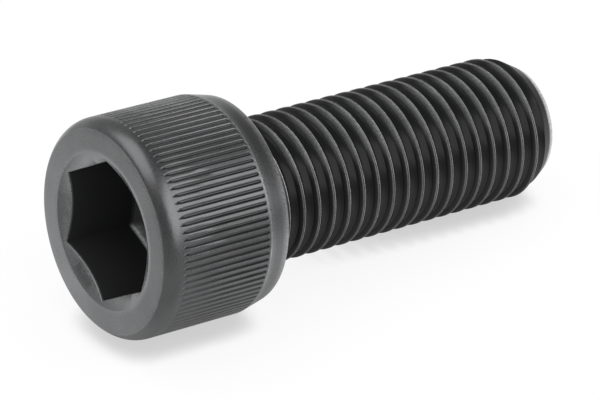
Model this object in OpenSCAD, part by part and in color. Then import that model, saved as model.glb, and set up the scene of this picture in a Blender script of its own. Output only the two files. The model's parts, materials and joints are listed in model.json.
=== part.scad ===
// Hexagon socket head cap screw that clamps a chuck jaw, lying on its side.
// It rests on the back edge of its knurl and on the last full crest of its thread.

/* [Head] */
// Diameter over the knurl
head_d = 24; // [21:0.5:28]
// Height from the bearing face to the flat face with the socket
head_h = 16; // [14.5:0.5:20]
// How far the rounded shoulder comes in from the knurl to the flat face
shoulder_drop = 1; // [0.5:0.1:1.5]
// Length of the rounded shoulder along the screw
shoulder_l = 1.9; // [1.6:0.1:2.5]
// Length of the plain ring between the knurl and the tapered band
ring_l = 0.2; // [0.1:0.05:1]
// Length of the tapered band, from the ring to the bearing face
band_l = 2.9; // [1.5:0.1:5]
// How far the band tapers in towards the bearing face
band_drop = 0.7; // [0.3:0.1:1.2]
// Rounding of the band's back edge
back_edge_r = 0.4; // [0.2:0.05:0.6]

/* [Knurl] */
// Number of straight grooves around the head
knurl_count = 96; // [72:4:108]
// Depth of a groove
knurl_depth = 0.22; // [0.1:0.02:0.4]
// Width of a groove at the surface
knurl_w = 0.42; // [0.3:0.02:0.48]
// Width of a groove at its bottom
knurl_root_w = 0.14; // [0.06:0.02:0.24]

/* [Socket] */
// Size of the hexagon across its flats
hex_af = 14; // [10:0.5:16]
// Depth of the hexagon at its corners
socket_l = 8.7; // [5:0.1:10]
// Width of the conical bevel outside the hexagon's corners
mouth_w = 0.4; // [0.2:0.05:0.7]
// Included angle of the conical bevel
mouth_angle = 120; // [90:5:140]
// Slope of the socket's conical floor, in degrees
floor_slope = 15; // [5:1:20]
// Turn of the hexagon from the side the screw lies on, in degrees
hex_turn = -3; // [-30:1:30]

/* [Thread] */
// Diameter over the crests
thread_d = 16; // [12:0.5:17]
// Distance from one crest to the next
thread_pitch = 2; // [1.5:0.25:2.5]
// Length from the bearing face to the flat end
shank_l = 40; // [25:1:60]
// Length of the plain neck before the thread starts
neck_l = 0.8; // [0.7:0.1:2]
// Length over which the thread rises to its full depth
run_in_l = 2; // [1:0.1:4]
// Radius of the fillet under the head
under_head_r = 0.9; // [0.8:0.05:1.2]
// Radial depth of the chamfer on the end
end_chamfer = 1.6; // [1.3:0.1:2]
// Turn of the thread about the screw, in degrees
thread_turn = -161; // [-180:1:180]

/* [Hidden] */
$fn = 96;

// Room that a shape needs to run into its neighbour
overlap = 0.5;

head_r = head_d / 2;
face_r = head_r - shoulder_drop;
bearing_r = head_r - band_drop;
back_edge_x = bearing_r - back_edge_r;
// The shoulder's arc meets the knurl smoothly and the flat face at an edge
shoulder_r = (shoulder_l * shoulder_l + shoulder_drop * shoulder_drop) / (2 * shoulder_drop);
knurl_l = head_h - shoulder_l - ring_l - band_l;

hex_r = hex_af / sqrt(3);
mouth_r = hex_r + mouth_w;
mouth_l = mouth_r / tan(mouth_angle / 2);
floor_l = hex_r * tan(floor_slope);

// Metric thread form with 60 degree flanks
thread_r = thread_d / 2;
thread_depth = 0.6134 * thread_pitch;
thread_root_r = thread_r - thread_depth;
flank_w = thread_depth * tan(30);
crest_w = thread_pitch / 8;
neck_r = thread_r - 0.3248 * thread_pitch;
// Radius along one pitch, which is measured as a share of it from the start of a crest
profile = [
    [0, thread_r],
    [crest_w / thread_pitch, thread_r],
    [(crest_w + flank_w) / thread_pitch, thread_root_r],
    [1 - flank_w / thread_pitch, thread_root_r],
    [1, thread_r],
];
profile_steps = len(profile) - 1;
// Columns of thread points around the screw
columns = 40;
column_angle = 360 / columns;
// The thread's mesh starts inside the head and runs past the flat end, which is cut afterwards
mesh_low = -2 * overlap;
mesh_high = shank_l + overlap;
first_turn = floor(mesh_low / thread_pitch) - 3;
last_turn = ceil(mesh_high / thread_pitch) + 2;
rows = (last_turn - first_turn) * profile_steps;

// The lowest full crest behind the end chamfer, on the side the screw lies on
last_crest = floor((shank_l - end_chamfer - crest_w) / thread_pitch - turns(0));
contact_z = thread_pitch * (last_crest + turns(0)) + crest_w;
lay_angle = atan((head_r - thread_r) / (contact_z + band_l));
// Lift and slide that put the middle of the resting box on the origin
lift = head_r * cos(lay_angle) - band_l * sin(lay_angle);
end_r = thread_r - end_chamfer;
front_x = -head_h * cos(lay_angle) - face_r * sin(lay_angle);
end_x = shank_l * cos(lay_angle) + end_r * sin(lay_angle);

function share(t) = t - floor(t);
function clamp(t, low, high) = max(low, min(high, t));
// Turns that the thread has made at angle a
function turns(a) = (a - thread_turn) / 360;
// Radius of the full thread at height z and angle a
function full_r(z, a) = lookup(share(z / thread_pitch - turns(a)), profile);
// Radius with the thread rising out of the plain neck
function thread_point_r(z, a) =
    neck_r + (full_r(z, a) - neck_r) * clamp((z - neck_l) / run_in_l, 0, 1);
// Pitches from the bearing face to row i in the column at angle a
function row_pitches(i, a) =
    first_turn + floor(i / profile_steps) + profile[i % profile_steps][0] + turns(a);
function row_z(i, a) = clamp(thread_pitch * row_pitches(i, a), mesh_low, mesh_high);
// Index of row i in column j, where column 0 follows the last one a turn further on
function point_at(i, j) = j < columns ? j * rows + i : min(i + profile_steps, rows - 1);

// Outline of the head and of the fillet under it, turned about the screw's axis
module head_outline() {
    translate([0, -head_h]) square([face_r, head_h]);
    translate([0, shoulder_l - head_h]) square([head_r, knurl_l + ring_l]);
    intersection() {
        translate([head_r - shoulder_r, shoulder_l - head_h]) circle(shoulder_r);
        translate([0, -head_h]) square([head_r, shoulder_l]);
    }
    polygon([[0, -band_l], [head_r, -band_l], [bearing_r, -back_edge_r],
        [back_edge_x, -back_edge_r], [back_edge_x, 0], [0, 0]]);
    translate([back_edge_x, -back_edge_r]) circle(back_edge_r);
    under_head_outline();
}

// Fillet between the bearing face and the neck
module under_head_outline() {
    bite = under_head_r / 20;
    difference() {
        translate([0, -overlap]) square([neck_r + under_head_r - bite, under_head_r + overlap]);
        translate([neck_r + under_head_r - bite, under_head_r]) circle(under_head_r);
    }
}

// One knurl groove with sloping sides, on the +X side
module knurl_groove() {
    translate([head_r, 0, shoulder_l - head_h])
        linear_extrude(knurl_l)
            polygon([[-knurl_depth, -knurl_root_w / 2], [0, -knurl_w / 2], [overlap, -knurl_w / 2],
                [overlap, knurl_w / 2], [0, knurl_w / 2], [-knurl_depth, knurl_root_w / 2]]);
}

// Hexagon with a bevelled mouth and a shallow conical floor that meets its corners
module socket() {
    translate([0, 0, -head_h]) {
        intersection() {
            translate([0, 0, -overlap]) rotate(hex_turn)
                cylinder(h = socket_l + floor_l + 2 * overlap, r = hex_r, $fn = 6);
            rotate_extrude()
                polygon([[0, -2 * overlap], [mouth_r, -2 * overlap],
                    [mouth_r, socket_l - (mouth_r - hex_r) * tan(floor_slope)], [0, socket_l + floor_l]]);
        }
        cylinder(h = mouth_l, r1 = mouth_r, r2 = 0);
    }
}

module threaded_shank() {
    points = [for (j = [0 : columns - 1], i = [0 : rows - 1])
        let (a = (j + 0.5) * column_angle, z = row_z(i, a), r = thread_point_r(z, a))
        [r * cos(a), r * sin(a), z]];
    low_centre = len(points);
    high_centre = low_centre + 1;
    sides = [for (j = [0 : columns - 1], i = [0 : rows - 2], half = [0, 1])
        half == 0
            ? [point_at(i, j), point_at(i + 1, j), point_at(i + 1, j + 1)]
            : [point_at(i, j), point_at(i + 1, j + 1), point_at(i, j + 1)]];
    caps = [for (j = [0 : columns - 1], high = [0, 1])
        high == 1
            ? [high_centre, point_at(rows - 1, j + 1), point_at(rows - 1, j)]
            : [low_centre, point_at(0, j), point_at(0, (j + 1) % columns)]];
    polyhedron(concat(points, [[0, 0, mesh_low], [0, 0, mesh_high]]), concat(sides, caps));
}

// Everything past the flat end and outside its chamfer
module end_waste() {
    reach = thread_r + overlap;
    rotate_extrude()
        polygon([[0, shank_l], [end_r, shank_l], [reach, shank_l - (reach - end_r)],
            [reach, mesh_high + overlap], [0, mesh_high + overlap]]);
}

// The screw on end, with its bearing face at the origin and its thread upwards
module upright_screw() {
    union() {
        difference() {
            rotate_extrude() head_outline();
            for (k = [0 : knurl_count - 1])
                rotate(k * 360 / knurl_count) knurl_groove();
            socket();
        }
        difference() {
            threaded_shank();
            end_waste();
        }
    }
}

module screw() {
    color([0.16, 0.16, 0.17])
        translate([-(front_x + end_x) / 2, 0, lift])
            rotate([0, 90 + lay_angle, 0])
                upright_screw();
}

screw();
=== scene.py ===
import json
import math
from functools import partial
import bpy
import bmesh
from mathutils import Matrix, Vector


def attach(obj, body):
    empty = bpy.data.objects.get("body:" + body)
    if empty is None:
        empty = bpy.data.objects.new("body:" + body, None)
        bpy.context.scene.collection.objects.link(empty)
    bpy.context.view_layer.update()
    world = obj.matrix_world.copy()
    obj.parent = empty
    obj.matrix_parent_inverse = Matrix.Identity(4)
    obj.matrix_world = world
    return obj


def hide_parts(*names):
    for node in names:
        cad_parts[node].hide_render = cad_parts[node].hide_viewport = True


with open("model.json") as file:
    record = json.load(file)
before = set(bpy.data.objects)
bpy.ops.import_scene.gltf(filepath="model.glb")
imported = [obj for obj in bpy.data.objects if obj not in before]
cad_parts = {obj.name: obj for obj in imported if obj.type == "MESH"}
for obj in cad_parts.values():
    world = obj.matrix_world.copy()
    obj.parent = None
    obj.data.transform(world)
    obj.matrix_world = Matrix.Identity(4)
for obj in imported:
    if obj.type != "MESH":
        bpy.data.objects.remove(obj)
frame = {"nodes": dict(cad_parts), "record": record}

mm = 0.001
fullTurn = 2 * math.pi
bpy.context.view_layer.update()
print("frame loaded", sorted(frame["nodes"]))


# small helpers for node trees

def addNode(tree, kind, inputs=None, **settings):
    node = tree.nodes.new(kind)
    for name, value in settings.items():
        setattr(node, name, value)
    for key, value in (inputs or {}).items():
        if isinstance(value, bpy.types.NodeSocket):
            tree.links.new(value, node.inputs[key])
        else:
            node.inputs[key].default_value = value
    return node


def addMath(tree, operation, *values):
    return addNode(tree, "ShaderNodeMath", dict(enumerate(values)), operation=operation).outputs[0]


def addProduct(tree, *values):
    result = values[0]
    for value in values[1:]:
        result = addMath(tree, "MULTIPLY", result, value)
    return result


def addRange(tree, value, fromMin, fromMax, toMin=0.0, toMax=1.0, smooth=False):
    # carries a value from one range to another and stops at its ends
    inputs = {"Value": value, "From Min": fromMin, "From Max": fromMax, "To Min": toMin, "To Max": toMax}
    curve = "SMOOTHSTEP" if smooth else "LINEAR"
    return addNode(tree, "ShaderNodeMapRange", inputs, interpolation_type=curve).outputs[0]


def addBlend(tree, share, first, second):
    return addNode(tree, "ShaderNodeMix", {0: share, 2: first, 3: second}).outputs[0]


def addFacing(tree, angle, degrees):
    # 1 at that angle round the screw and -1 opposite; 0 is its underside and 180 its top
    return addMath(tree, "COSINE", addMath(tree, "SUBTRACT", angle, math.radians(degrees)))


def toolsFor(tree):
    return [partial(tool, tree) for tool in (addMath, addProduct, addRange)]


# skins: a column of row points that is carried round the screw

def newTree(name, sizes):
    # a geometry tree with one named input for each size
    tree = bpy.data.node_groups.new(name, "GeometryNodeTree")
    tree.interface.new_socket("Rows", in_out="INPUT", socket_type="NodeSocketGeometry")
    for label, value in sizes.items():
        kind = "NodeSocketInt" if isinstance(value, int) else "NodeSocketFloat"
        tree.interface.new_socket(label, in_out="INPUT", socket_type=kind)
    tree.interface.new_socket("Finish", in_out="INPUT", socket_type="NodeSocketMaterial")
    tree.interface.new_socket("Skin", in_out="OUTPUT", socket_type="NodeSocketGeometry")
    return tree, tree.nodes.new("NodeGroupInput").outputs


def readRow(tree, rows, row, value):
    # X, Y and Z of a value that is held on one of the row points
    sample = addNode(tree, "GeometryNodeSampleIndex", {"Geometry": rows, "Value": value, "Index": row},
                     data_type="FLOAT_VECTOR")
    return addNode(tree, "ShaderNodeSeparateXYZ", {"Vector": sample.outputs[0]}).outputs


def wrapRows(tree, given):
    # a grid with one column of points for each step round the screw
    calc = partial(addMath, tree)
    size = addNode(tree, "GeometryNodeAttributeDomainSize", {"Geometry": given["Rows"]})
    count = size.outputs["Point Count"]
    grid = addNode(tree, "GeometryNodeMeshGrid", {
        "Size X": 1.0, "Size Y": 1.0, "Vertices X": calc("ADD", given["Columns"], 1), "Vertices Y": count})
    index = tree.nodes.new("GeometryNodeInputIndex").outputs[0]
    column = calc("FLOOR", calc("DIVIDE", calc("ADD", index, 0.5), count))
    row = calc("SUBTRACT", index, calc("MULTIPLY", column, count))
    position = tree.nodes.new("GeometryNodeInputPosition").outputs[0]
    point = readRow(tree, given["Rows"], row, position)
    return grid.outputs["Mesh"], point, column, row, count


def finishSkin(tree, skin, angle, radius, height, masks, finish):
    # places the points, keeps the masks and ends in plain geometry
    place = addNode(tree, "ShaderNodeCombineXYZ", {
        "X": addMath(tree, "MULTIPLY", radius, addMath(tree, "COSINE", angle)),
        "Y": addMath(tree, "MULTIPLY", radius, addMath(tree, "SINE", angle)), "Z": height})
    for name, mask in masks.items():
        store = addNode(tree, "GeometryNodeStoreNamedAttribute",
                        {"Geometry": skin, "Name": name, "Value": mask}, data_type="FLOAT", domain="POINT")
        skin = store.outputs["Geometry"]
    moved = addNode(tree, "GeometryNodeSetPosition", {"Geometry": skin, "Position": place.outputs[0]})
    real = addNode(tree, "GeometryNodeRealizeInstances", {"Geometry": moved.outputs[0]})
    painted = addNode(tree, "GeometryNodeSetMaterial", {"Geometry": real.outputs[0], "Material": finish})
    tree.links.new(painted.outputs[0], tree.nodes.new("NodeGroupOutput").inputs["Skin"])


def makeSkin(tree, name, rows, sizes, finish, shares=None):
    # rows are the points of one column, handed to the tree as a loose mesh
    mesh = bpy.data.meshes.new(name + "Rows")
    mesh.from_pydata(rows, [], [])
    if shares:
        held = mesh.attributes.new("hexShare", "FLOAT_VECTOR", "POINT")
        for point, share in zip(held.data, shares):
            point.vector = share
    obj = bpy.data.objects.new(name, mesh)
    bpy.context.scene.collection.objects.link(obj)
    modifier = obj.modifiers.new(name, "NODES")
    modifier.node_group = tree
    for item in tree.interface.items_tree:
        if item.item_type == "SOCKET" and item.in_out == "INPUT" and item.name in sizes:
            modifier[item.identifier] = sizes[item.name]
        if item.item_type == "SOCKET" and item.name == "Finish":
            modifier[item.identifier] = finish
    graph = bpy.context.evaluated_depsgraph_get()
    skin = bpy.data.meshes.new_from_object(obj.evaluated_get(graph))
    obj.modifiers.remove(modifier)
    bpy.data.objects.remove(obj)
    print(name, len(skin.vertices), "points")
    return skin


def arc(centreR, centreZ, radius, fromDeg, toDeg, steps):
    turns = [math.radians(fromDeg + (toDeg - fromDeg) * step / steps) for step in range(steps + 1)]
    return [(centreR + radius * math.cos(turn), centreZ + radius * math.sin(turn)) for turn in turns]


# finish: satin black oxide

def makeMottle():
    # cloudy tone and fine grain, with the wear, painted light and shade, oxide and oil that each skin holds
    group = bpy.data.node_groups.new("oxideMottle", "ShaderNodeTree")
    for label in ("Cloud Scale", "Grain Scale", "Patch Low", "Speck Low", "Speck High"):
        group.interface.new_socket(label, in_out="INPUT", socket_type="NodeSocketFloat")
    for label in ("Cloud", "Grain", "Wear And Highlight", "Hollow", "Oil"):
        group.interface.new_socket(label, in_out="OUTPUT", socket_type="NodeSocketFloat")
    cloudLow, cloudHigh = 0.3, 0.7
    grainLow, grainHigh = 0.35, 0.65
    given = group.nodes.new("NodeGroupInput").outputs
    out = group.nodes.new("NodeGroupOutput")
    place = group.nodes.new("ShaderNodeTexCoord").outputs["Object"]
    cloud = addNode(group, "ShaderNodeTexNoise", {
        "Vector": place, "Scale": given["Cloud Scale"], "Detail": 4.0, "Roughness": 0.6}).outputs[0]
    grain = addNode(group, "ShaderNodeTexNoise", {
        "Vector": place, "Scale": given["Grain Scale"], "Detail": 2.0, "Roughness": 0.6}).outputs[0]
    edge, hollow, oil = [addNode(group, "ShaderNodeAttribute", attribute_name=name).outputs["Fac"]
                         for name in ("edge", "hollow", "oil")]
    patchy = addRange(group, cloud, cloudLow, cloudHigh, given["Patch Low"], 1.0)
    speckled = addRange(group, grain, grainLow, grainHigh, given["Speck Low"], given["Speck High"])
    wearAndHighlight = addProduct(group, edge, patchy, speckled)
    results = {"Cloud": cloud, "Grain": grain, "Wear And Highlight": wearAndHighlight, "Hollow": hollow, "Oil": oil}
    for label, value in results.items():
        group.links.new(value, out.inputs[label])
    return group


def makeOxide():
    oxide = {
        "base": (0.166, 0.168, 0.173, 1.0), "light": (0.216, 0.218, 0.222, 1.0),
        "wearAndHighlight": (0.82, 0.83, 0.84, 1.0), "shadeAndOxide": (0.006, 0.0062, 0.0062, 1.0),
        "shadeAndOxideMetallic": 0.1, "wearAndHighlightMatte": 0.8, "sheen": 0.05,
        "rough": (0.26, 0.38), "dull": 0.5, "oilRough": 0.24,
        "cloudScale": 160.0, "grainScale": 5200.0, "grain": (0.3, 0.7),
        "patchLow": 0.55, "speckLow": 0.6, "speckHigh": 1.4,
        "bump": 0.25, "bumpHeight": 0.03}
    material = bpy.data.materials.new("blackOxide")
    material.use_nodes = True
    tree = material.node_tree
    calc, times, ramp = toolsFor(tree)
    shader = tree.nodes["Principled BSDF"]
    mottle = addNode(tree, "ShaderNodeGroup", {
        "Cloud Scale": oxide["cloudScale"], "Grain Scale": oxide["grainScale"],
        "Patch Low": oxide["patchLow"], "Speck Low": oxide["speckLow"],
        "Speck High": oxide["speckHigh"]}, node_tree=makeMottle()).outputs

    def mixColour(share, first, second):
        return addNode(tree, "ShaderNodeMix", {0: share, 6: first, 7: second}, data_type="RGBA").outputs[2]

    tone = mixColour(mottle["Cloud"], oxide["base"], oxide["light"])
    tone = mixColour(mottle["Hollow"], tone, oxide["shadeAndOxide"])
    # wear and painted highlights take the bright colour
    tone = mixColour(mottle["Wear And Highlight"], tone, oxide["wearAndHighlight"])
    # in the hollows a dull black hides the metal: painted shade, with oxide as well on the thread
    bare = ramp(mottle["Hollow"], 0.0, 1.0, 1.0, oxide["shadeAndOxideMetallic"])
    metallic = calc("SUBTRACT", bare, times(mottle["Wear And Highlight"], oxide["wearAndHighlightMatte"]))
    rough = ramp(mottle["Grain"], *oxide["grain"], *oxide["rough"])
    dulled = calc("ADD", rough, times(mottle["Hollow"], oxide["dull"]))
    bump = addNode(tree, "ShaderNodeBump", {
        "Height": mottle["Grain"], "Strength": oxide["bump"], "Distance": oxide["bumpHeight"] * mm})
    shader.inputs["Specular IOR Level"].default_value = oxide["sheen"]
    shader.inputs["Coat Roughness"].default_value = oxide["oilRough"]
    # the coat is a thin film of oil
    looks = {"Base Color": tone, "Metallic": metallic, "Roughness": dulled,
             "Coat Weight": mottle["Oil"], "Normal": bump.outputs[0]}
    for label, value in looks.items():
        tree.links.new(value, shader.inputs[label])
    return material


blackOxide = makeOxide()
print("finish made")


# head: turned skin with straight knurl grooves

def makeHead(finish):
    # lengths in mm and angles in degrees; rub and shade run from 0 to 1
    head = {
        "radius": 12.0, "height": 16.0, "faceRadius": 11.05, "shoulder": 1.9, "shoulderSteps": 14,
        "ringAt": 13.0, "bandAt": 13.2, "bandShares": (0.3, 0.65), "bearingRadius": 11.42,
        "backRound": 0.4, "backSteps": 6, "innerFace": 9.3, "middleFace": 10.3, "innerBack": 8.7,
        # points of two softened edges: outwards, towards the back, rub
        "faceEdge": ((-0.1, 0.0, 0.1), (-0.035, 0.006, 0.2), (0.012, 0.035, 0.15)),
        "ringEdge": ((0.0, -0.06, 0.25), (-0.012, 0.0, 0.5), (-0.03, 0.07, 0.15)),
        "faceRub": 0.1, "shoulderRub": 0.03, "landRub": 0.05, "backRub": 0.28,
        "grooves": 96, "grooveColumns": 8, "depth": 0.22, "width": 0.48, "flat": 0.07,
        # columns of a groove, as shares of the way to the next groove
        "columnFirst": 0.02, "columnStep": 0.1, "columnLast": 0.32,
        "tip": 1.95, "tipLength": 1.1, "tipSteps": 6, "tipEase": 1.3,
        "uneven": 0.7, "wanderRound": 3.7, "wanderAlong": 260.0, "frontDepth": 0.45, "frontLength": 4.5,
        # painted shade on the groove's sides, by the share of its depth
        "upperFront": 240.0, "lowerFrom": 0.07, "bottom": (0.95, 0.55), "bottomShade": 0.7,
        "thinAt": 0.47, "thinReach": 0.35, "depthShade": 0.5,
        "darkestAt": 215.0, "darkestReach": (0.1, 0.85), "darkestShade": (0.25, 0.9),
        # painted highlight on the groove's lip
        "lipHighlight": 0.26, "lipFrom": 0.04, "lipTo": (0.3, 0.08),
        "topAt": 172.0, "topReach": (0.8, 1.0), "topLip": 2.6}
    top = -head["height"]
    full = head["radius"]
    drop = full - head["faceRadius"]
    shoulderR = (head["shoulder"] ** 2 + drop ** 2) / (2 * drop)
    startDeg = -math.degrees(math.asin(head["shoulder"] / shoulderR))
    shoulder = arc(full - shoulderR, top + head["shoulder"], shoulderR, startDeg, 0, head["shoulderSteps"])
    # (radius, height, rub): from the flat face over the shoulder and the knurl to the bearing face
    rows = [(head["innerFace"], top, head["faceRub"]), (head["middleFace"], top, head["faceRub"])]
    rows += [(head["faceRadius"] + out, top + back, rub) for out, back, rub in head["faceEdge"]]
    rows += [(r, z, head["shoulderRub"]) for r, z in shoulder[1:]]
    half = head["width"] / 2
    tipStart = top + head["tip"] + head["tipLength"]
    tipEnd = top + head["ringAt"] - half
    shares = [step / head["tipSteps"] for step in range(head["tipSteps"] + 1)]
    for share in shares:
        along = head["tipLength"] * share ** head["tipEase"]
        rows.append((full, top + head["tip"] + along, head["landRub"] * share))
    rows += [(full, tipStart + (tipEnd - tipStart) * share, head["landRub"]) for share in shares[1:-1]]
    for share in shares:
        along = half * (1 - (1 - share) ** head["tipEase"])
        rows.append((full, tipEnd + along, head["landRub"]))
    rows += [(full + out, top + head["bandAt"] + back, rub) for out, back, rub in head["ringEdge"]]
    bandDeg = math.degrees(math.atan2(full - head["bearingRadius"], head["height"] - head["bandAt"]))
    backAt = head["bearingRadius"] - head["backRound"]
    back = arc(backAt, -head["backRound"], head["backRound"], bandDeg, 90, head["backSteps"])
    bandR, bandZ = rows[-1][:2]
    backR, backZ = back[0]
    for share in head["bandShares"]:
        rows.append((bandR + (backR - bandR) * share, bandZ + (backZ - bandZ) * share, 0))
    rows += [(r, z, head["backRub"]) for r, z in back]
    rows.append((head["innerBack"], 0, 0))

    sizes = {
        "Columns": head["grooves"] * head["grooveColumns"], "Grooves": head["grooves"],
        "Groove Depth": head["depth"] * mm, "Groove Half Width": half * mm,
        "Bottom Half Width": head["flat"] / 2 * mm, "First Tip": tipStart * mm, "Last Tip": tipEnd * mm,
        "Tip Share": half / head["tipLength"], "Uneven": head["uneven"], "Front Depth": head["frontDepth"],
        "Front Length": head["frontLength"] * mm, "Lip Highlight": head["lipHighlight"]}
    tree, given = newTree("knurledHead", sizes)
    calc, times, ramp = toolsFor(tree)
    facing = partial(addFacing, tree)
    skin, point, column = wrapRows(tree, given)[:3]
    radius, rub, height = point
    # the columns of a groove are drawn together over its sides
    middle = (head["grooveColumns"] - 1) / 2
    step = calc("SUBTRACT", calc("MODULO", column, head["grooveColumns"]), middle)
    groove = calc("FLOOR", calc("DIVIDE", column, head["grooveColumns"]))
    reach = calc("MULTIPLY_ADD", calc("ABSOLUTE", step), head["columnStep"], head["columnFirst"])
    along = times(calc("MINIMUM", reach, head["columnLast"]), calc("SIGN", step))
    pitchAngle = calc("DIVIDE", fullTurn, given["Grooves"])
    angle = times(calc("ADD", groove, along), pitchAngle)
    across = times(along, pitchAngle, radius)
    before = times(calc("SUBTRACT", given["First Tip"], height), given["Tip Share"])
    after = calc("SUBTRACT", height, given["Last Tip"])
    beyond = calc("MAXIMUM", calc("MAXIMUM", before, after), 0.0)
    away = calc("SQRT", calc("ADD", times(across, across), times(beyond, beyond)))
    cut = ramp(away, given["Groove Half Width"], given["Bottom Half Width"])
    # grooves are shallower at the front, and the depth of each wanders a little
    spot = addNode(tree, "ShaderNodeCombineXYZ", {
        "X": times(groove, head["wanderRound"]), "Y": times(height, head["wanderAlong"])})
    wander = addNode(tree, "ShaderNodeTexNoise", {"Vector": spot.outputs[0], "Scale": 1.0, "Detail": 1.0})
    frontEnd = calc("ADD", given["First Tip"], given["Front Length"])
    bite = ramp(height, given["First Tip"], frontEnd, given["Front Depth"], 1.0)
    strayed = times(calc("SUBTRACT", wander.outputs[0], 0.5), given["Uneven"])
    depth = times(bite, calc("ADD", 1.0, strayed))
    cutRadius = calc("SUBTRACT", radius, times(cut, depth, given["Groove Depth"]))
    # painted shade: a groove shows a dark lower side, a thin dark upper side and a light bottom between
    # them
    lower = calc("MULTIPLY_ADD", times(calc("SIGN", step), facing(angle, head["upperFront"])), 0.5, 0.5)
    upper = calc("SUBTRACT", 1.0, lower)
    broad = times(ramp(cut, 0.0, head["lowerFrom"]), ramp(cut, *head["bottom"], head["bottomShade"]))
    thin = ramp(calc("ABSOLUTE", calc("SUBTRACT", cut, head["thinAt"])), head["thinReach"], 0.0)
    # the painted shade on the sides is darkest on the upper front
    darkest = ramp(facing(angle, head["darkestAt"]), *head["darkestReach"], *head["darkestShade"])
    darkening = calc("MULTIPLY_ADD", depth, head["depthShade"], darkest)
    sides = calc("MINIMUM", times(darkening, calc("ADD", times(broad, lower), times(thin, upper))), 1.0)
    # painted highlight: a thin bright lip runs along the upper side, brightest on top of the head
    onTop = ramp(facing(angle, head["topAt"]), *head["topReach"], 1.0, head["topLip"])
    lipHighlight = times(ramp(cut, 0.0, head["lipFrom"], 0.0, given["Lip Highlight"]), ramp(cut, *head["lipTo"]), onTop)
    land = times(rub, calc("SUBTRACT", 1.0, cut))
    # edge holds wear on the lands and the painted highlight on the lips, hollow the painted shade
    masks = {"edge": calc("MAXIMUM", land, times(lipHighlight, upper)), "hollow": sides, "oil": 0.0}
    finishSkin(tree, skin, angle, cutRadius, height, masks, given["Finish"])
    return makeSkin(tree, "headSkin", [(r * mm, rub, z * mm) for r, z, rub in rows], sizes, finish)


# shank: rolled right-hand thread

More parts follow.
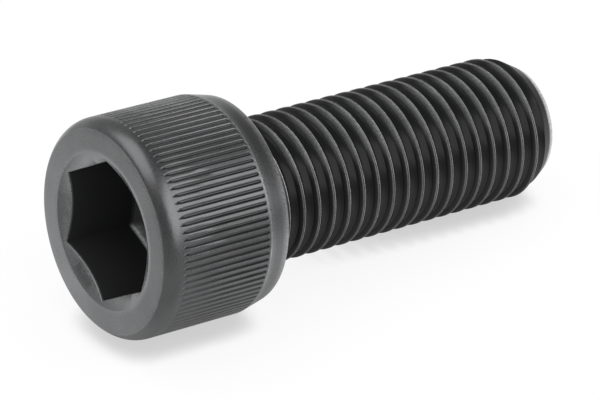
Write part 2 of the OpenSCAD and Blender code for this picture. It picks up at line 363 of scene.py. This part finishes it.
def makeThread(finish):
    # lengths in mm and angles in degrees; depth, crest and neckDepth are shares of the pitch
    thread = {
        "radius": 8.0, "pitch": 2.0, "length": 40.0, "depth": 0.6134, "crest": 0.125, "flankDeg": 30.0,
        "turn": -161.0, "columns": 128, "spareTurns": 2,
        "neckDepth": 0.3248, "neck": 0.8, "runIn": 2.0, "underHead": 0.9,
        "endChamfer": 1.6, "endSlope": 0.55, "endLip": 0.15,
        "crestRound": 0.025, "crestDrop": 0.45, "crestInset": 0.06,
        "flankRows": (0.07, 0.3), "lowestFlank": 0.1,
        # points of the rounded root: along from its edge, above its bottom
        "rootRound": ((-0.03, 0.085), (0.04, 0.025)),
        "crestRub": (0.02, 0.05, 0.6, 1.0, 0.4), "headSideRub": 0.25, "wornFrom": 3.0,
        "upperAt": 200.0, "upperHighlight": 0.4, "allRoundRub": 0.6,
        "rimGlint": 0.6, "rimFrom": 0.8, "rimTo": 0.4,
        "sheenStreak": 0.13, "streakAt": 205.0, "streakReach": (0.8, 0.99), "streakFrom": 0.55, "streakTo": 0.12,
        "darkening": (0.88, 1.0), "darkeningDepth": 0.3, "oil": 0.5}
    pitch, full = thread["pitch"], thread["radius"]
    depth = thread["depth"] * pitch
    crest = thread["crest"] * pitch
    flank = depth * math.tan(math.radians(thread["flankDeg"]))
    slope = depth / flank
    root = full - depth
    neckR = full - thread["neckDepth"] * pitch
    soft, lowest = thread["crestRound"], thread["lowestFlank"]
    crestEdge = crest / 2
    rootEdge = crestEdge + flank
    # (along, radius, rub) over one pitch, from the middle of a crest to the next
    crestRows = [(0, full), (crestEdge - thread["crestInset"], full), (crestEdge - soft, full),
                 (crestEdge, full - soft * thread["crestDrop"]), (crestEdge + soft, full - soft * slope)]
    halfRows = [(along, r, rub) for (along, r), rub in zip(crestRows, thread["crestRub"])]
    halfRows += [(crestEdge + down, full - down * slope, 0) for down in thread["flankRows"]]
    halfRows.append((rootEdge - lowest, root + lowest * slope, 0))
    halfRows += [(rootEdge + along, root + above, 0) for along, above in thread["rootRound"]]
    # the edge towards the end is worn brightest
    onePitch = halfRows + [(pitch / 2, root, 0)]
    onePitch += [(pitch - along, r, rub * thread["headSideRub"]) for along, r, rub in halfRows[:0:-1]]
    turns = int(thread["length"] / pitch) + 2 * thread["spareTurns"]
    starts = [(turn - thread["spareTurns"]) * pitch for turn in range(turns)]
    rows = [((start + along) * mm, r * mm, rub) for start in starts for along, r, rub in onePitch]

    sizes = {
        "Columns": thread["columns"], "Pitch": pitch * mm, "Length": thread["length"] * mm,
        "Start Angle": math.radians(thread["turn"]), "Crest": crest * mm, "Crest Radius": full * mm,
        "Neck Radius": neckR * mm, "Neck": thread["neck"] * mm, "Run In": thread["runIn"] * mm,
        "Under Head": thread["underHead"] * mm, "End Radius": (full - thread["endChamfer"]) * mm,
        "End Slope": thread["endSlope"], "End Lip": thread["endLip"] * mm}
    tree, given = newTree("rolledThread", sizes)
    calc, times, ramp = toolsFor(tree)
    facing = partial(addFacing, tree)
    skin, point, column, row, count = wrapRows(tree, given)
    lift, radius, rub = point
    angle = times(calc("DIVIDE", column, given["Columns"]), fullTurn)
    # the whole column climbs one pitch in a turn
    climb = times(calc("DIVIDE", calc("SUBTRACT", angle, given["Start Angle"]), fullTurn), given["Pitch"])
    lifted = calc("ADD", calc("ADD", lift, climb), times(given["Crest"], 0.5))
    height = calc("MINIMUM", calc("MAXIMUM", lifted, 0.0), given["Length"])
    grown = ramp(calc("SUBTRACT", height, given["Neck"]), 0.0, given["Run In"])
    ridge = calc("ADD", given["Neck Radius"], times(calc("SUBTRACT", radius, given["Neck Radius"]), grown))
    # fillet under the head
    low = calc("MAXIMUM", calc("SUBTRACT", given["Under Head"], height), 0.0)
    inside = calc("SUBTRACT", times(given["Under Head"], given["Under Head"]), times(low, low))
    fillet = calc("SUBTRACT", calc("ADD", given["Neck Radius"], given["Under Head"]),
                  calc("SQRT", calc("MAXIMUM", inside, 0.0)))
    body = calc("MAXIMUM", ridge, fillet)
    # chamfer on the end, with a row just inside its rim and one last row at the axis that closes it
    toEnd = calc("SUBTRACT", given["Length"], height)
    chamfer = calc("ADD", given["End Radius"], times(toEnd, given["End Slope"]))
    trimmed = calc("MINIMUM", body, chamfer)
    notAxis = calc("LESS_THAN", row, calc("SUBTRACT", count, 1.5))
    notFlatEnd = calc("LESS_THAN", row, calc("SUBTRACT", count, 2.5))
    drawnIn = times(calc("SUBTRACT", 1.0, notFlatEnd), given["End Lip"])
    closed = times(calc("SUBTRACT", trimmed, drawnIn), notAxis)
    cutOff = calc("GREATER_THAN", calc("SUBTRACT", body, chamfer), 0.0)
    # the crests are worn, with a painted highlight that makes them brightest on the upper side
    early = calc("MINIMUM", times(grown, thread["wornFrom"]), 1.0)
    toUpper = facing(angle, thread["upperAt"])
    upper = calc("MULTIPLY_ADD", toUpper, thread["upperHighlight"], thread["allRoundRub"])
    crestWearAndHighlight = times(rub, early, upper, calc("SUBTRACT", 1.0, cutOff))
    # the rim of the end is bright too, a painted highlight
    rim = ramp(toEnd, thread["rimFrom"] * mm, thread["rimTo"] * mm, 0.0, thread["rimGlint"])
    rimHighlight = times(rim, cutOff, notFlatEnd)
    # a painted highlight: a faint streak of sheen lies along the upper side, near the crests
    below = calc("SUBTRACT", given["Crest Radius"], trimmed)
    nearCrest = ramp(below, thread["streakFrom"] * mm, thread["streakTo"] * mm)
    toStreak = facing(angle, thread["streakAt"])
    sheenStreak = ramp(toStreak, *thread["streakReach"], 0.0, thread["sheenStreak"], smooth=True)
    litAndWorn = calc("MAXIMUM", calc("MAXIMUM", crestWearAndHighlight, rimHighlight), times(sheenStreak, nearCrest, early))
    # all else is darkened, partly oxide and partly painted shade, but for the flat end
    darkening = ramp(below, 0.0, thread["darkeningDepth"] * mm, *thread["darkening"])
    hollow = times(darkening, calc("SUBTRACT", 1.0, litAndWorn), notFlatEnd)
    masks = {"edge": litAndWorn, "hollow": hollow, "oil": thread["oil"]}
    finishSkin(tree, skin, angle, closed, height, masks, given["Finish"])
    return makeSkin(tree, "threadSkin", rows, sizes, finish)


# socket: broached hexagon with a bevelled mouth and a shallow conical floor

def makeSocket(finish):
    # lengths in mm and angles in degrees
    socket = {
        "acrossFlats": 14.0, "depth": 8.7, "mouth": 0.4, "mouthDeg": 120.0, "floorDeg": 15.0, "turn": -3.0,
        "faceAt": -16.0, "outer": 9.0, "columns": 192, "mouthSoft": 0.04, "wallSoft": 0.05,
        "wallTop": 0.25, "wallMiddle": 5.0, "wallEnd": 0.2, "floorBevel": 0.28, "bevelMiddle": (0.5, 0.42),
        "floorInset": 1.5, "floorCentre": 2.5,
        "faceRub": 0.1, "mouthRub": (0.18, 0.05), "wallRub": 0.2, "bevelGlint": (0.5, 1.0, 0.3),
        "firstShadedRow": 5, "floorRows": 4, "wallShade": 0.88, "floorLighter": 0.35,
        "glint": 27.0, "glintReach": (0.86, 0.9), "mouthDepth": 3.0}
    corner = socket["acrossFlats"] / math.sqrt(3)
    mouthR = corner + socket["mouth"]
    steep = 1 / math.tan(math.radians(socket["mouthDeg"] / 2))
    fall = math.tan(math.radians(socket["floorDeg"]))
    mouthAt = mouthR * steep
    floorAt = socket["depth"] + corner * fall
    mouthSoft, wallSoft, bevel = socket["mouthSoft"], socket["wallSoft"], socket["floorBevel"]
    inset, centre = socket["floorInset"], socket["floorCentre"]
    outerRub, innerRub = socket["mouthRub"]
    wallEndGlint, bevelGlint, floorEdgeGlint = socket["bevelGlint"]
    bevelIn, bevelUp = socket["bevelMiddle"]
    # radius, depth, rub (wear at the mouth, a painted glint on the floor's bevel), then how much of the
    # hexagon's own radius goes to the radius and to the depth
    rows = [
        (socket["outer"], 0, socket["faceRub"], 0, 0),
        (mouthR + mouthSoft, 0, outerRub, 0, 0),
        (mouthR - mouthSoft, mouthSoft * steep, innerRub, 0, 0),
        (wallSoft, mouthAt - wallSoft * steep, socket["wallRub"], 1, -steep),
        (0, mouthAt + wallSoft, socket["wallRub"], 1, -steep),
        (0, mouthAt + socket["wallTop"], 0, 1, -steep),
        (0, socket["wallMiddle"], 0, 1, 0),
        (0, floorAt - bevel - socket["wallEnd"], 0, 1, -fall),
        (0, floorAt - bevel, wallEndGlint, 1, -fall),
        (-bevel * bevelIn, floorAt - bevel * bevelUp, bevelGlint, 1, -fall),
        (-bevel, floorAt + bevel * fall, floorEdgeGlint, 1, -fall),
        (-inset, floorAt + inset * fall, 0, 1, -fall),
        (centre, floorAt - centre * fall, 0, 0, 0),
        (0, floorAt, 0, 0, 0)]
    points = [(radius * mm, rub, depth * mm) for radius, depth, rub, toRadius, toDepth in rows]
    shares = [(toRadius, toDepth, 0) for radius, depth, rub, toRadius, toDepth in rows]

    sizes = {
        "Columns": socket["columns"], "Half Flats": socket["acrossFlats"] / 2 * mm,
        "Turn": math.radians(socket["turn"]), "Face": socket["faceAt"] * mm,
        "Mouth Depth": socket["mouthDepth"] * mm}
    tree, given = newTree("hexSocket", sizes)
    calc, times, ramp = toolsFor(tree)
    facing = partial(addFacing, tree)
    skin, point, column, row, count = wrapRows(tree, given)
    radius, rub, depth = point
    held = addNode(tree, "GeometryNodeInputNamedAttribute", {"Name": "hexShare"}, data_type="FLOAT_VECTOR")
    hexShare = readRow(tree, given["Rows"], row, held.outputs["Attribute"])
    spin = times(calc("DIVIDE", column, given["Columns"]), fullTurn)
    fromFlat = calc("SUBTRACT", calc("MODULO", spin, math.pi / 3), math.pi / 6)
    hexRadius = calc("DIVIDE", given["Half Flats"], calc("COSINE", fromFlat))
    wallRadius = calc("ADD", radius, times(hexShare["X"], hexRadius))
    wallDepth = calc("ADD", depth, times(hexShare["Y"], hexRadius))
    angle = calc("ADD", spin, given["Turn"])
    height = calc("ADD", given["Face"], wallDepth)
    # the mouth is worn all round, and the bevel of the floor has a painted glint on one side only
    oneSide = ramp(facing(angle, socket["glint"]), *socket["glintReach"])
    glint = times(rub, calc("MAXIMUM", oneSide, calc("LESS_THAN", wallDepth, given["Mouth Depth"])))
    # painted shade: the walls are darkened, and the floor a little less
    darkening = times(calc("GREATER_THAN", row, socket["firstShadedRow"] - 0.5), socket["wallShade"])
    onFloor = calc("GREATER_THAN", row, calc("SUBTRACT", count, socket["floorRows"] + 0.5))
    hollow = times(darkening, calc("MULTIPLY_ADD", onFloor, -socket["floorLighter"], 1.0))
    masks = {"edge": glint, "hollow": hollow, "oil": 0.0}
    finishSkin(tree, skin, angle, wallRadius, height, masks, given["Finish"])
    return makeSkin(tree, "socketSkin", points, sizes, finish, shares)


# screw: the three skins joined to one closed body

def bridgeRims(shape, wide, narrow):
    # strip of triangles between two rims, walked in step by angle
    def byAngle(point):
        return math.atan2(point.co.y, point.co.x)

    wide, narrow = sorted(wide, key=byAngle), sorted(narrow, key=byAngle)
    wideAt = narrowAt = 0
    while wideAt < len(wide) or narrowAt < len(narrow):
        here, there = wide[wideAt % len(wide)], narrow[narrowAt % len(narrow)]
        if (wideAt + 1) * len(narrow) <= (narrowAt + 1) * len(wide):
            wideAt += 1
            shape.faces.new((here, wide[wideAt % len(wide)], there))
        else:
            narrowAt += 1
            shape.faces.new((here, narrow[narrowAt % len(narrow)], there))


def joinSkins(skins):
    # lengths in mm; each face has its height and a radius between its two open rims
    joins = {"merge": 0.002, "sliver": 0.001, "level": 0.1,
             "flatFace": (-16.0, 9.15), "bearingFace": (0.0, 8.5)}
    shape = bmesh.new()
    for skin in skins:
        shape.from_mesh(skin)
    bmesh.ops.remove_doubles(shape, verts=shape.verts, dist=joins["merge"] * mm)
    bmesh.ops.dissolve_degenerate(shape, edges=shape.edges, dist=joins["sliver"] * mm)
    rims = {point for edge in shape.edges if edge.is_boundary for point in edge.verts}
    for height, between in (joins["flatFace"], joins["bearingFace"]):
        level = [point for point in rims if abs(point.co.z - height * mm) < joins["level"] * mm]
        wide = [point for point in level if point.co.xy.length > between * mm]
        narrow = [point for point in level if point.co.xy.length < between * mm]
        bridgeRims(shape, wide, narrow)
    bmesh.ops.recalc_face_normals(shape, faces=shape.faces)
    openEdges = [edge for edge in shape.edges if not edge.is_manifold]
    volume = round(shape.calc_volume() / mm ** 3, 1)
    print("screw skin", len(shape.faces), "faces", len(openEdges), "open edges", volume, "mm3")
    return shape


def lieDown(shape):
    # the bearing face of the CAD screw gives the place and the dip
    seat = next(mount for mount in frame["record"]["mounts"] if mount["name"] == "bearing_face")
    along = Vector(seat["axis"]).normalized()
    side = Vector((0, 1, 0))
    down = side.cross(along)
    turn = Matrix((down, side, along)).transposed().to_4x4()
    shape.transform(Matrix.Translation((seat["pos_m"][0], 0, seat["pos_m"][2])) @ turn)


def makeScrew():
    sharpDeg = 28.0
    shape = joinSkins([makeHead(blackOxide), makeThread(blackOxide), makeSocket(blackOxide)])
    lieDown(shape)
    mesh = bpy.data.meshes.new("screwBody")
    shape.to_mesh(mesh)
    shape.free()
    mesh.materials.clear()
    mesh.materials.append(blackOxide)
    for face in mesh.polygons:
        face.material_index = 0
        face.use_smooth = True
    mesh.set_sharp_from_angle(angle=math.radians(sharpDeg))
    screw = bpy.data.objects.new("screwBody", mesh)
    bpy.context.scene.collection.objects.link(screw)
    return screw


screwBody = makeScrew()
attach(screwBody, "root")
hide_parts("screw")
print("screw in place")


# studio: white floor, soft boxes and a dim room

def makeFloor():
    # lengths in metres; in the metal's mirror the sheet shows a painted glow, bright around the spot and
    # dim beyond it
    floor = {
        "reach": 1.4, "front": 0.07, "facing": -30.0, "light": 0.93, "speck": 0.005, "speckScale": 300.0,
        "rough": 0.9, "fade": 0.88,
        "spot": (0.035, 0.062, 0.0), "near": 0.083, "far": 0.103, "bright": 1.0, "dim": 0.38,
        "beside": 0.018, "besideRays": 8, "besideDark": 0.35,
        "contact": 0.0035, "contactRays": 16, "dark": 0.66, "cover": (0.3, 0.85)}
    turn = Matrix.Rotation(math.radians(floor["facing"]), 3, "Z")
    reach, front = floor["reach"], -floor["front"]
    flat = ((-reach, front, 0), (reach, front, 0), (reach, reach, 0), (-reach, reach, 0))
    mesh = bpy.data.meshes.new("studioFloor")
    mesh.from_pydata([turn @ Vector(corner) for corner in flat], [], [(0, 1, 2, 3)])
    obj = bpy.data.objects.new("studioFloor", mesh)
    bpy.context.scene.collection.objects.link(obj)
    material = bpy.data.materials.new("paleFloor")
    material.use_nodes = True
    tree = material.node_tree
    calc, times, ramp = toolsFor(tree)
    shader = tree.nodes["Principled BSDF"]
    shader.inputs["Roughness"].default_value = floor["rough"]
    shader.inputs["Specular IOR Level"].default_value = 0.0
    path = tree.nodes.new("ShaderNodeLightPath").outputs
    place = tree.nodes.new("ShaderNodeTexCoord").outputs["Object"]
    speck = addNode(tree, "ShaderNodeTexNoise", {"Vector": place, "Scale": floor["speckScale"]}).outputs[0]
    sheet = ramp(speck, 0.0, 1.0, floor["light"] - floor["speck"], floor["light"] + floor["speck"])
    tree.links.new(sheet, shader.inputs["Base Color"])
    away = addNode(tree, "ShaderNodeVectorMath", {0: place, 1: floor["spot"]}, operation="DISTANCE")
    glow = ramp(away.outputs["Value"], floor["near"], floor["far"], floor["bright"], floor["dim"])

    def coverWithin(distance, rays):
        node = addNode(tree, "ShaderNodeAmbientOcclusion", {"Distance": distance}, samples=rays)
        return node.outputs["AO"]

    # the camera sees a glowing white sheet with a painted pale shadow that is dark only near the screw
    contact = coverWithin(floor["contact"], floor["contactRays"])
    shade = ramp(contact, *floor["cover"], floor["dark"], 1.0, smooth=True)
    beside = coverWithin(floor["beside"], floor["besideRays"])
    # in the mirror the painted glow is darkened beside the screw
    mirrored = times(glow, ramp(beside, *floor["cover"], floor["besideDark"], 1.0))
    level = addBlend(tree, path["Is Camera Ray"], mirrored, shade)
    white = addNode(tree, "ShaderNodeEmission", {"Strength": level})
    share = calc("ADD", times(path["Is Camera Ray"], floor["fade"]), path["Is Glossy Ray"])
    mix = addNode(tree, "ShaderNodeMixShader", {0: share, 1: shader.outputs[0], 2: white.outputs[0]})
    tree.links.new(mix.outputs[0], tree.nodes["Material Output"].inputs["Surface"])
    mesh.materials.append(material)


def aim(obj, target):
    obj.rotation_mode = "QUATERNION"
    obj.rotation_quaternion = (Vector(target) - obj.location).to_track_quat("-Z", "Y")


def fromAngles(azimuth, elevation, distance):
    turn, rise = math.radians(azimuth), math.radians(elevation)
    level = math.cos(rise)
    return Vector((math.sin(turn) * level, -math.cos(turn) * level, math.sin(rise))) * distance


def makeLights():
    boxes = {"frontBox": {"at": (22, 33), "distance": 0.6, "size": (0.66, 0.50), "glow": 1.35},
             "topBox": {"at": (-122, 70), "distance": 0.6, "size": (0.60, 0.50), "glow": 0.98}}
    middle = (0, 0, 0.008)
    for name, box in boxes.items():
        lamp = bpy.data.lights.new(name, "AREA")
        lamp.shape = "RECTANGLE"
        lamp.size, lamp.size_y = box["size"]
        lamp.energy = box["glow"] * math.pi * lamp.size * lamp.size_y
        obj = bpy.data.objects.new(name, lamp)
        obj.location = fromAngles(*box["at"], box["distance"])
        aim(obj, middle)
        bpy.context.scene.collection.objects.link(obj)


def makeRoom():
    # brightness of the walls, and where along a direction each starts and ends
    room = {"horizon": 0.85, "dim": 0.16, "back": 0.36, "below": 0.24, "sky": 0.9,
            "backReach": (0.3, 0.9), "horizonReach": (0.04, 0.24),
            "frontWay": (0.5, 0.866), "frontReach": (-0.88, -0.55)}
    world = bpy.data.worlds.new("studioRoom")
    bpy.context.scene.world = world
    world.use_nodes = True
    tree = world.node_tree
    calc, times, ramp = toolsFor(tree)
    background = tree.nodes["Background"]
    background.inputs["Color"].default_value = (1, 1, 1, 1)
    direction = tree.nodes.new("ShaderNodeTexCoord").outputs["Generated"]
    way = addNode(tree, "ShaderNodeSeparateXYZ", {"Vector": direction}).outputs
    behind = ramp(way["Y"], *room["backReach"], room["dim"], room["back"])
    aboveHorizon = ramp(way["Z"], *room["horizonReach"])
    frontX, frontY = room["frontWay"]
    toFront = calc("ADD", times(way["X"], frontX), times(way["Y"], frontY))
    sides = ramp(toFront, *room["frontReach"], room["below"], room["horizon"])
    wall = addBlend(tree, aboveHorizon, sides, behind)
    mirrored = addBlend(tree, calc("LESS_THAN", way["Z"], 0.0), wall, room["below"])
    # the metal mirrors the dim room, the floor gets an even sky and the camera sees white
    path = tree.nodes.new("ShaderNodeLightPath").outputs
    lit = addBlend(tree, path["Is Glossy Ray"], room["sky"], mirrored)
    level = addBlend(tree, path["Is Camera Ray"], lit, 1.0)
    tree.links.new(level, background.inputs["Strength"])


def makeCamera():
    # aim and distance in mm
    photo = {"azimuth": -36.42, "elevation": 30.77, "aim": (6.09, 10.93, 0.0), "distance": 448.0,
             "lens": 239.4, "sensor": 36.0, "clip": (0.01, 20.0)}
    data = bpy.data.cameras.new("photoCamera")
    data.lens, data.sensor_width = photo["lens"], photo["sensor"]
    data.clip_start, data.clip_end = photo["clip"]
    camera = bpy.data.objects.new("photoCamera", data)
    target = Vector(photo["aim"]) * mm
    camera.location = target + fromAngles(photo["azimuth"], photo["elevation"], photo["distance"] * mm)
    aim(camera, target)
    bpy.context.scene.collection.objects.link(camera)
    bpy.context.scene.camera = camera


makeFloor()
makeLights()
makeRoom()
makeCamera()
bpy.context.scene.view_settings.view_transform = "Standard"
print("studio ready")
